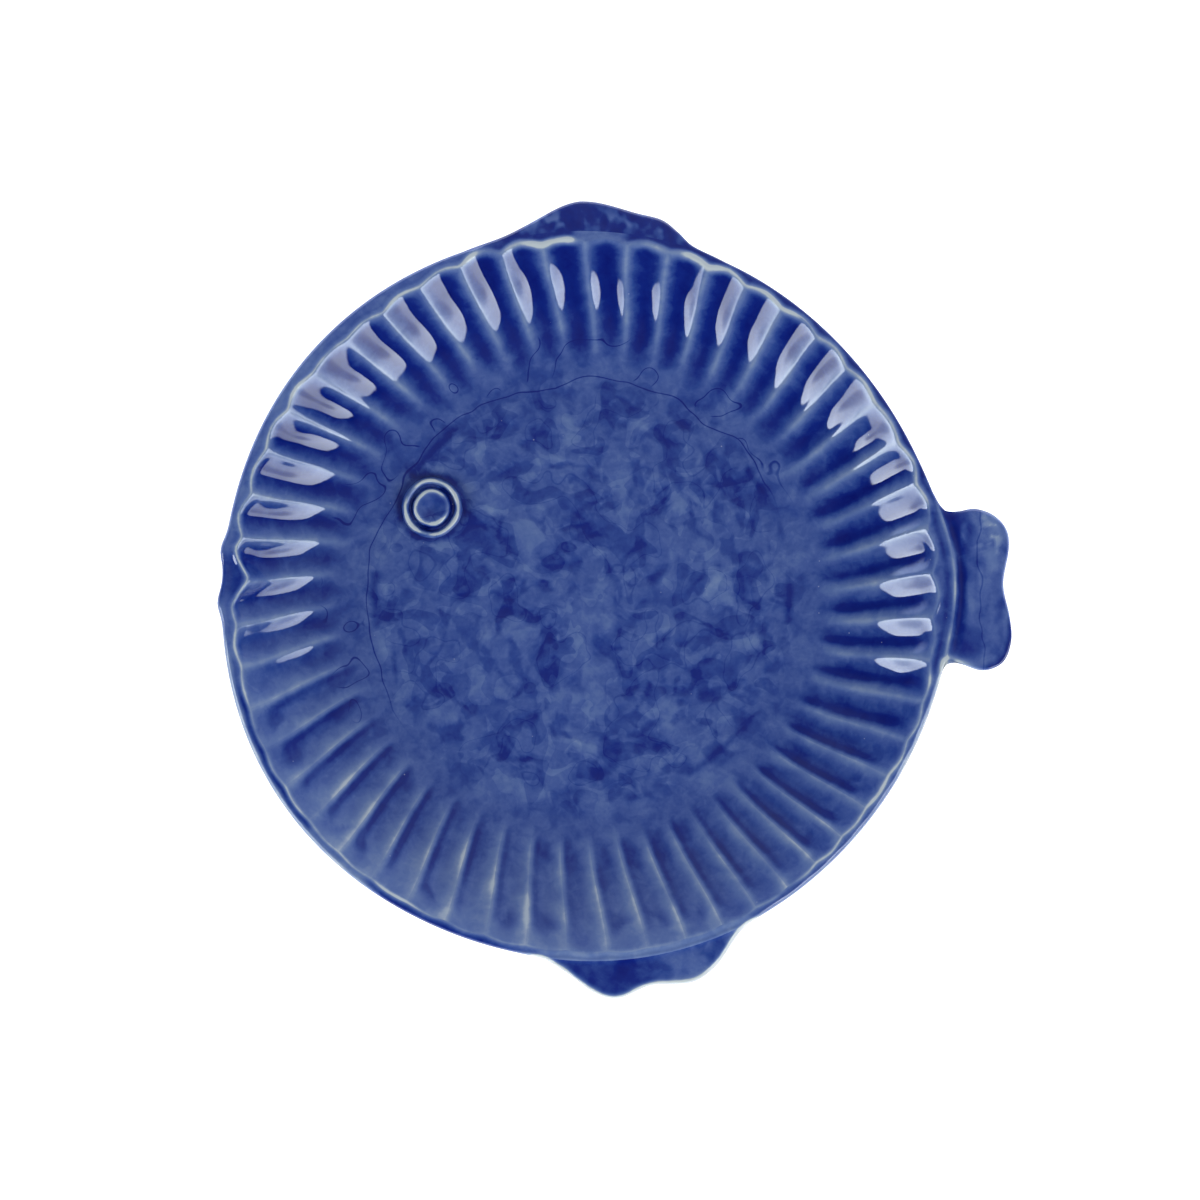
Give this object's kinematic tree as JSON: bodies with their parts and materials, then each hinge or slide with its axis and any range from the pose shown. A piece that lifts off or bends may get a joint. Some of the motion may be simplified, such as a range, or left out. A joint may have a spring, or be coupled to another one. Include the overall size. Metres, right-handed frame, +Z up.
{
  "type": "salad plate",
  "caption": "Round fluted salad plate shaped as a fish: fins and a tail outside the rim, a raised ring eye on the well, a pinched mouth and a foot ring.",
  "frame": {"origin": "middle of the footprint, on the plane the foot ring stands on", "axes": "+Z up out of the well, +X from the fish's mouth to its tail, +Y from the ventral fin to the dorsal fin"},
  "size_m": [0.2368, 0.2378, 0.0265],
  "materials": {
    "blue_glaze": "glossy cobalt glaze, pale where it breaks over edges and dark where it pools",
    "bare_clay": "unglazed fired stoneware, matt"
  },
  "bodies": {
    "root": {"plate_body": "blue_glaze", "foot_ring": "bare_clay", "dorsal_fin": "blue_glaze", "ventral_fin": "blue_glaze", "tail_fin": "blue_glaze", "eye_ring": "blue_glaze", "eye_pupil": "blue_glaze"}
  },
  "joints": []
}
